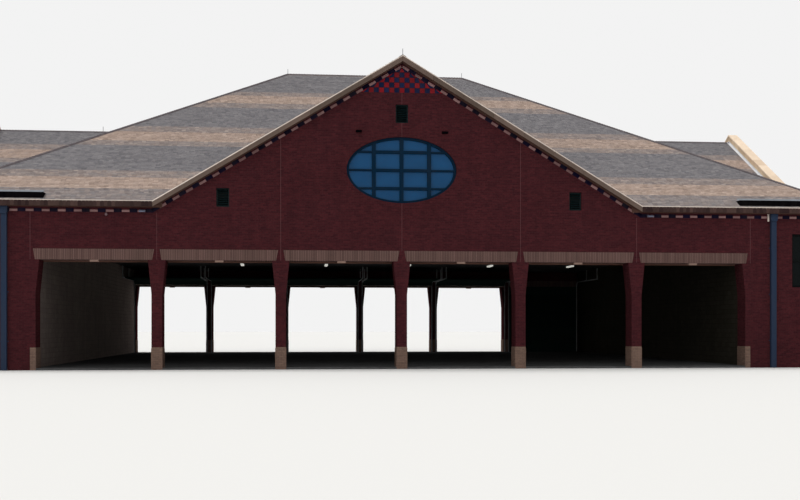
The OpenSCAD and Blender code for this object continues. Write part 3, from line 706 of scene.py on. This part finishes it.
# Tan units along the roof's edges

edgeLay = {"header": 0.14, "board": 1.22, "joint": 0.008, "sunk": 0.0, "proud": 0.024, "foot": 0.004,
           "dripSeen": 0.045, "dripFlat": 0.015, "eaveDripSeen": 0.026, "dripFootPaintedLight": {-1: 0.95, 1: 0.45},
           "dripPeakPaintedShade": 0.1}


# Height of the front gable's edge over x
def rakeLine(x):
    return gableZ - np.abs(x) * gableSlope


# Even cells: edges at start + i * (end - start) / count, drawn in by half a joint on both sides.
def runOfCells(start, end, pitch, joint):
    count = max(int(round((end - start) / pitch)), 1)
    edges = np.linspace(start, end, count + 1)
    return edges[:-1] + joint / 2, edges[1:] - joint / 2


# Corners of upright cells from u0 to u1, between two heights above a line over u
def uprightCells(u0, u1, low, high, line=steady(0)):
    return cellsOf((u0, line(u0) + low), (u1, line(u1) + low), (u1, line(u1) + high), (u0, line(u0) + high))


def edgeRoof(lay):
    wall = planeAt((0, -eaveY, 0), front)
    runs = []
    for plane, start, end in ((wall, gableHalf, eaveX), (planeAt((eaveX, 0, 0), right), endHalf, eaveY)):
        u0, u1 = runOfCells(start, end, lay["header"], lay["joint"])
        cells = uprightCells(u0, u1, wallTop + lay["foot"], eaveZ - lay["eaveDripSeen"])
        runs.append(mirrored(tiles(plane, cells, lay), "xy"))
    putBatch("eave_headers", runs, "headerBrownPaintedShade")
    u0, u1 = runOfCells(0, gableHalf, lay["board"], lay["joint"])
    boards = uprightCells(u0, u1, -sizes["roofEdge"], -lay["dripSeen"], rakeLine)
    putBatch("rake_boards", [tiles(wall, boards, lay)], "rakeTan", "xy")
    # A drip's face slants from the roof's edge at the wall to a flat strip in front of the boards.
    # The drips' tone is painted light and shade: lighter at the left rake's foot as if sunlit, darker on the
    # right and towards the peak.
    back, edge = (uprightCells(u0, u1, -lay["dripSeen"], -upper, rakeLine)
                  for upper in (0.0, lay["dripSeen"] - lay["dripFlat"]))
    runs = [batchOf(onPlane(wall, back * [side, 1], 0.0), onPlane(wall, edge * [side, 1], lay["proud"]),
                    tone=lay["dripPeakPaintedShade"] + (foot - lay["dripPeakPaintedShade"]) * u1 / gableHalf)
            for side, foot in lay["dripFootPaintedLight"].items()]
    putBatch("rake_drips", runs, "rakeMetalPaintedLight", "y")


edgeRoof(edgeLay)

# Bands of alternate navy and rose units under the eaves and rakes

bandLay = {"low": 6.125, "unit": 0.3, "joint": 0.01, "proud": 0.006, "sunk": 0.002, "rakeFoot": 0.42,
           "navy": {"down": 0.245, "foot": 0.0, "tall": 0.145},
           "rose": {"down": 0.31, "foot": 0.015, "tall": 0.085}}


# A unit's corner up the rake = foot of the run + u * down the rake + height * square to it.
def bandRoof(lay):
    stretch = np.hypot(1, gableSlope)
    down, square = np.array([1, -gableSlope]) / stretch, np.array([gableSlope, 1]) / stretch
    faces = ((frontWall, gableHalf, wallEnd, "xy"),
             (planeAt((wallEnd, 0, 0), right), endHalf, wallFace, "xy"),
             (planeAt((endFace, 0, 0), right), -endHalf, endHalf, "x"))
    for part, (kind, finishName) in enumerate((("navy", "navyGlaze"), ("rose", "roseBrick"))):
        unitLay, runs = lay[kind], []
        for wall, start, end, axes in faces:
            u0, u1 = (side[part::2] for side in runOfCells(start, end, lay["unit"], lay["joint"]))
            foot = lay["low"] + unitLay["foot"]
            cells = uprightCells(u0, u1, foot, foot + unitLay["tall"])
            runs.append(mirrored(tiles(wall, cells, lay), axes))
        length = gableHalf * stretch
        u0, u1 = (side[1 - part::2] for side in runOfCells(0, length, lay["unit"], lay["joint"]))
        low = np.array([0, gableZ - lay["rakeFoot"]])
        top = low + square * (lay["rakeFoot"] - unitLay["down"]) / stretch
        corners = ((low, u0), (low, u1), (top, u1), (top, u0))
        cells = np.stack([edge + u[:, None] * down for edge, u in corners], 1)
        cells[..., 0] = np.maximum(cells[..., 0], 0)
        cells = cells[cells[:, :, 1].min(1) > lay["low"]]
        runs.append(mirrored(tiles(frontWall, cells, lay), "xy"))
        putBatch(kind + "_band", runs, finishName)


bandRoof(bandLay)

peakLay = {"foot": 11.005, "pitch": 0.204, "joint": 0.022, "rows": 5, "proud": 0.006, "sunk": 0.002,
           "air": 0.01, "least": 0.03}


# Tiles between the rakes: half width at z = (limit - z) / slope - air. Row + column says the colour.
def tilePeak(lay):
    limit = gableZ - bandLay["rakeFoot"]
    rows = lay["foot"] + lay["pitch"] * np.arange(lay["rows"] + 1)

    def reach(z):
        return np.maximum((limit - z) / gableSlope - lay["air"], 0)

    shift = np.full(lay["rows"], -lay["pitch"] / 2 + lay["joint"] / 2)
    cells, row = bondCells(rows, lay["joint"], lay["pitch"], lay["joint"], shift, lambda z: -reach(z), reach,
                           least=lay["least"])
    column = np.round(cells[:, :2, 0].mean(1) / lay["pitch"]).astype(int)
    for part, name, finishName in ((0, "red_tiles", "redGlaze"), (1, "blue_tiles", "blueGlaze")):
        picked = cells[(row + column) % 2 == part]
        putBatch(name, [tiles(frontWall, picked, lay)], finishName, "y")


tilePeak(peakLay)

# Soldier courses over the doors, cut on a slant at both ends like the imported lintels

lintelLay = {"unit": 0.0677, "joint": 0.014, "proud": 0.005, "rowGap": 0.003, "air": 0.004, "least": 0.01,
             "tones": (0.25, 0.75), "sealTall": 0.06, "sealThick": 0.05, "sealShort": 0.13, "sealAir": 0.002}


# Half length at height v = half at the foot + (v - foot) * lean.
def soldierCourses(lay):
    rows = np.array([doorHead - lay["proud"], lintelTop])
    runs = []
    lean = (sizes["lintelGapLow"] - sizes["lintelGapTop"]) / 2 / (lintelTop - doorHead)

    def half(v):
        return (bayPitch - sizes["lintelGapLow"]) / 2 + (v - doorHead) * lean - lay["air"]

    for middle in bayMiddles:
        cells, _ = bondCells(rows, lay["rowGap"], lay["unit"], lay["joint"], np.zeros(1),
                             lambda v: middle - half(v), lambda v: middle + half(v), least=lay["least"])
        runs.append(plates(frontWall, cells, -(wallFace - pierBack) - lay["proud"], lay["proud"],
                           tone=rng.uniform(*lay["tones"], len(cells))))
    putBatch("soldier_courses", runs, "unitTan", "y")


# A brown seal along the inner edge of each door's head
def headSeals(lay):
    reach = (bayPitch - sizes["pierWidth"]) / 2 - lay["sealShort"]
    seals = blocks(about(bayMiddles, reach), (-pierBack - lay["sealThick"], -pierBack),
                   (doorHead - lay["sealTall"], doorHead - lay["sealAir"]))
    putBatch("head_seals", [seals], "sealBrown", "y")


soldierCourses(lintelLay)
headSeals(lintelLay)

# Sealed joints up the walls over the piers, stopped by the louvre and the oval window

jointLay = {"wide": 0.016, "proud": 0.002, "sunk": 0.004, "air": 0.02, "gableIn": 0.5}


# Each span is (x, foot, top); outside the gable it ends at the band under the eaves.
def wallJoints(lay):
    oval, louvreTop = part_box("oval_glass"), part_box("louvres")[1][2]
    spans = []
    for x in np.linspace(-rowX, rowX, sizes["bays"] + 1):
        top = min(rakeLine(x) - bandLay["rakeFoot"] - lay["air"], peakLay["foot"])
        if abs(x) < lay["wide"]:
            spans += [(x, lintelTop, oval[0][2]), (x, oval[1][2], louvreTop - sizes["louvreTall"]),
                      (x, louvreTop, top)]
        else:
            spans.append((x, doorHead, top if abs(x) < gableHalf - lay["gableIn"] else bandLay["low"]))
    x, foot, top = np.array(spans).T
    seals = blocks(about(x, lay["wide"] / 2), (-wallFace - lay["proud"], -wallFace + lay["sunk"]),
                   (foot, top))
    putBatch("wall_joints", [seals], "sealant", "y")


wallJoints(jointLay)

# End parapets: pale units on the inner face, coping stones, and flashing at the foot

parapetLay = {"unit": 0.41, "joint": 0.008, "proud": 0.012, "sunk": 0.002, "air": 0.004, "coping": 0.61,
              "lip": 0.006, "flashing": 0.14, "flashingLow": 0.018, "flashingUp": 0.09, "flashingOut": 0.012,
              "sheet": 0.004}


# The end roof's surface over y
def endLine(y):
    return endRidgeZ - np.abs(y) * hipSlope


# Slabs up the slopes of both end roofs, between two places in x, two in y and two heights above them
def slabsUp(xs, ys, heights, **values):
    (x0, x1), (y0, y1), (low, high) = xs, ys, heights
    base = cellsOf(*((x, y, endLine(y) + low) for x, y in ((x0, y0), (x1, y0), (x1, y1), (x0, y1))))
    return mirrored(batchOf(base, base + [0, 0, high - low], **values), "xy")


def dressParapets(lay):
    rise = sizes["parapet"]
    u0, u1 = runOfCells(0, endHalf, lay["unit"], lay["joint"])
    cells = uprightCells(u0, u1, lay["flashingUp"], rise - lay["air"], endLine)
    putBatch("parapet_units", [tiles(planeAt((endIn, 0, 0), left), cells, lay)], "creamUnit", "xy")
    u0, u1 = runOfCells(0, endHalf, lay["coping"], lay["joint"])
    stones = slabsUp((endIn - sizes["copingOut"] - lay["lip"], endFace + sizes["copingOut"] + lay["lip"]),
                     (u0, u1), (rise - lay["lip"], rise + sizes["coping"] + lay["lip"]),
                     tone=rng.uniform(size=len(u0)))
    putBatch("coping_stones", [stones], "copingCream")
    foot, whole = lay["flashingLow"], (0, endHalf)
    sheets = [slabsUp((endIn - lay["flashing"], endIn), whole, (foot, foot + lay["sheet"])),
              slabsUp((endIn - lay["sheet"] - lay["flashingOut"], endIn), whole, (foot, lay["flashingUp"]))]
    putBatch("parapet_flashing", sheets, "greyFlashing")


dressParapets(parapetLay)

# The long vents above the eaves: blades, a cover sheet and a strip of flashing up the roof

ventLay = {"blades": 4, "blade": 0.012, "bladeEdge": 0.03, "bladeSunk": 0.002, "proud": 0.012, "strip": 0.2,
           "stripIn": 0.1, "stripDown": 0.01, "stripThick": 0.024, "sheet": 0.004, "coverOut": 0.03,
           "coverBack": 0.05}


# Blades stand at even heights in the box's face; the roof's surface meets the box's top at
# plan = (top - eave) / slope.
def dressVents(lay):
    low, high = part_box("eaves_vents")
    x0, x1 = high[0] - sizes["ventLength"], high[0]
    face, top = high[1], high[2]
    lift = np.linspace(low[2] + lay["bladeEdge"], top - lay["bladeEdge"], lay["blades"])
    blades = blocks((x0, x1), (-face - lay["proud"], -face + lay["bladeSunk"]), about(lift, lay["blade"] / 2))
    putBatch("vent_blades", [blades], "ventBlack", "xy")
    plan = (top - eaveZ) / hipSlope
    cells = uprightCells(x0 + lay["stripIn"], x1 - lay["stripIn"], plan - lay["stripDown"],
                         plan + lay["strip"])
    strip = plates(planeAt((0, -eaveY, eaveZ), front, hipSlope), cells, 0.0, lay["stripThick"])
    cover = blocks((x0, x1), (-face - lay["coverOut"], -eaveY + plan + lay["coverBack"]),
                   (top, top + lay["sheet"]))
    putBatch("vent_flashing", [strip, cover], "ventSheet", "xy")


dressVents(ventLay)

# Downspouts: straps, a rim on each head, and a pale strip beside the right-hand one's head, a painted
# highlight for its sunlit side

spoutLay = {"wide": 0.22, "deep": 0.13, "straps": (1.1, 3.0, 4.9), "strap": 0.04, "proud": 0.004, "ear": 0.05,
            "earThick": 0.004, "rim": 0.03, "rimDown": 0.04, "rimOut": 0.012, "headMore": 0.06,
            "highlightWide": 0.07, "highlightTall": 0.3, "stripThick": 0.02}


def dressDownspouts(lay):
    headHalf = (lay["wide"] + lay["headMore"]) / 2
    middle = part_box("downspouts")[1][0] - headHalf
    z = np.array(lay["straps"])
    half = lay["wide"] / 2 + lay["proud"]
    rimHalf = headHalf + lay["rimOut"]
    straps = (z, z + lay["strap"])
    bands = blocks(about(middle, half), (-wallFace - lay["deep"] - lay["proud"], -wallFace), straps)
    ears = blocks(about(middle, half + lay["ear"]), (-wallFace - lay["earThick"], -wallFace), straps)
    rim = blocks(about(middle, rimHalf),
                 (-wallFace - lay["deep"] - lay["headMore"] - lay["rimOut"], -wallFace),
                 (wallTop - lay["rim"] - lay["rimDown"], wallTop - lay["rimDown"]))
    putBatch("spout_straps", [bands, ears, rim], "spoutBlue", "xy")
    # The pale strip left of the head stands in for that head's sunlit side: a painted highlight.
    edge = middle - rimHalf
    strip = blocks((edge - lay["highlightWide"], edge), (-wallFace - lay["stripThick"], -wallFace),
                   (wallTop - lay["highlightTall"], wallTop))
    putBatch("spout_painted_highlight", [strip], "paleMetal")


dressDownspouts(spoutLay)

# Door sections: plates with gaps between them on both faces of every door, and a pale bottom rail.
# A raised door lies level but for its last section, which hangs aslant in the bend of its tracks:
# its run in plan = sqrt(section^2 - drop^2).

doorLay = {"gap": 0.012, "proud": 0.004, "margin": 0.02, "rail": 0.055, "railThick": 0.03, "railBack": 0.01,
           "railDown": 0.012}


def dressDoors(lay):
    thick, (low, high) = sizes["doorThick"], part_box("sectional_doors")
    hangY, level = -low[1], high[2] - thick
    wide = bayPitch - sizes["pierWidth"] + 2 * sizes["doorLap"]
    step = (doorHead - floorTop + sizes["doorLap"]) / sizes["doorSections"]
    foot = doorHead + sizes["hangUp"]
    run = np.sqrt(step ** 2 - (level - foot) ** 2)
    half = wide / 2 - lay["margin"]
    flat, tilted, rails = [], [], []
    # All are raised but the last one, at the rear.
    for middle, facing in [(middle, facing) for middle in bayMiddles for facing in (front, rear)][:-1]:
        way = facing[1]
        slab = planeAt((middle, way * (hangY - run), level), facing, 0.0)
        starts = np.arange(sizes["doorSections"] - 1) * step
        cells = uprightCells(-half, half, starts + lay["gap"] / 2, starts + step - lay["gap"] / 2)
        tone = rng.uniform(size=len(cells))
        flat.append(plates(slab, cells, -lay["proud"], 0.0, tone=tone))
        flat.append(plates(slab, cells, thick, thick + lay["proud"], tone=tone))
        bend = planeAt((middle, way * hangY, foot), facing, (level - foot) / run)
        cells = uprightCells(-half, half, 0.0, run - lay["gap"] / 2)
        for back in (-lay["proud"], thick * run / step):
            tilted.append(plates(bend, cells, back, back + lay["proud"], tone=rng.uniform(size=1)))
        edges = sorted((way * (hangY + lay["railBack"]), way * (hangY - lay["railThick"])))
        rails.append(blocks(about(middle, half), edges, (foot - lay["railDown"], foot + lay["rail"])))
    starts = floorTop + np.arange(sizes["doorSections"]) * step + lay["gap"] / 2
    for face in (pierBack - thick - lay["proud"], pierBack):
        flat.append(blocks(about(bayMiddles[-1], half), (face, face + lay["proud"]),
                           (starts, starts + (step - lay["gap"])), tone=rng.uniform(size=len(starts))))
    putBatch("door_sections", flat + tilted, "doorPaint")
    putBatch("door_rails", rails, "paleMetal")


dressDoors(doorLay)

# A dome on an arm, on the front wall under the eaves at the left
domeLay = {"x": -11.52, "z": 6.03, "radius": 0.05, "radii": (0.01, 0.5, 0.86, 1.0, 1.0, 0.6, 0.01),
           "heights": (-1.0, -0.87, -0.5, 0.0, 0.6, 0.9, 0.9), "around": 24, "arm": 0.09, "armHalf": 0.02,
           "armUp": (0.03, 0.07)}


def placeDome(lay):
    x, y, z = lay["x"], -wallFace - lay["arm"], lay["z"]
    turned("wall_dome", (x, y, z), lay, "domeRose")
    arm = blocks(about(x, lay["armHalf"]), (y, -wallFace), [z + up for up in lay["armUp"]])
    putBatch("dome_arm", [arm], "domeRose")


placeDome(domeLay)
print("details placed")

# Camera at the photograph's place: level, turned a little to the right, with the horizon low in the frame

cameraSpec = {"place": (-4.34, -56.95, 1.64), "turn": 0.0987, "focus": 1086.3, "horizon": 327.8,
              "width": 800, "height": 500, "sensor": 36.0, "far": 500.0}


# Lens = focus in pixels / width * sensor. Shift = rows from the horizon to the middle / width.
def placeCamera(spec):
    data = bpy.data.cameras.new("photographCamera")
    data.sensor_fit = "HORIZONTAL"
    data.sensor_width = spec["sensor"]
    data.lens = spec["focus"] / spec["width"] * data.sensor_width
    data.shift_y = (spec["horizon"] - spec["height"] / 2) / spec["width"]
    data.clip_end = spec["far"]
    camera = addObject("photographCamera", data)
    camera.location = spec["place"]
    camera.rotation_mode = "XYZ"
    camera.rotation_euler = (np.pi / 2, 0.0, -spec["turn"])
    bpy.context.scene.camera = camera


placeCamera(cameraSpec)

# Light, floor and backdrop

lightSpec = {
    "world": 0.62, "sun": 1.9, "sunAngle": 0.5, "sunFrom": (-0.5, 0.12, 0.86), "fill": 0.8, "fillAngle": 1.2,
    "fillFrom": (-0.3, -0.9, 0.35), "floor": tint(216, 215, 212), "floorGlow": 0.06, "floorHalf": 400.0,
    "floorDown": 0.002, "roughness": 0.9, "backdrop": 0.895}


def addSun(name, strength, angle, direction):
    data = bpy.data.lights.new(name, "SUN")
    data.energy = strength
    data.angle = angle
    lamp = addObject(name, data)
    lamp.rotation_mode = "QUATERNION"
    lamp.rotation_quaternion = Vector(direction).to_track_quat("Z", "Y")


# 1 for what the camera sees, also in a reflection or through glass
def isSeen(tree):
    path = addNode(tree, "LightPath").outputs
    return maths(tree, "MAXIMUM", path["Is Camera Ray"],
                 maths(tree, "MAXIMUM", path["Is Glossy Ray"], path["Is Transmission Ray"]))


def lightScene(spec):
    addSun("softKey", spec["sun"], spec["sunAngle"], spec["sunFrom"])
    addSun("softFill", spec["fill"], spec["fillAngle"], spec["fillFrom"])
    world = bpy.data.worlds.new("studioWorld")
    bpy.context.scene.world = world
    world.use_nodes = True
    tree = world.node_tree
    tree.nodes.clear()
    strength = spread(tree, isSeen(tree), spec["world"], spec["backdrop"])
    shine = addNode(tree, "Background", {"Color": (1, 1, 1, 1), "Strength": strength})
    addNode(tree, "OutputWorld", {"Surface": shine.outputs[0]})


def layFloor(spec):
    material, tree, inputs = newMaterial("studioFloor", spec)
    inputs["Base Color"].default_value = spec["floor"]
    inputs["Emission Color"].default_value = (1, 1, 1, 1)
    tree.links.new(maths(tree, "MULTIPLY", isSeen(tree), spec["floorGlow"]), inputs["Emission Strength"])
    half, down = spec["floorHalf"], spec["floorDown"]
    mesh = bpy.data.meshes.new("studio_floor")
    mesh.from_pydata([(-half, -half, -down), (half, -half, -down), (half, half, -down), (-half, half, -down)],
                     [], [(0, 1, 2, 3)])
    mesh.materials.append(material)
    floor = addObject("studio_floor", mesh)


lightScene(lightSpec)
layFloor(lightSpec)
bpy.context.scene.view_settings.view_transform = "Standard"
print("camera, lights and floor set")
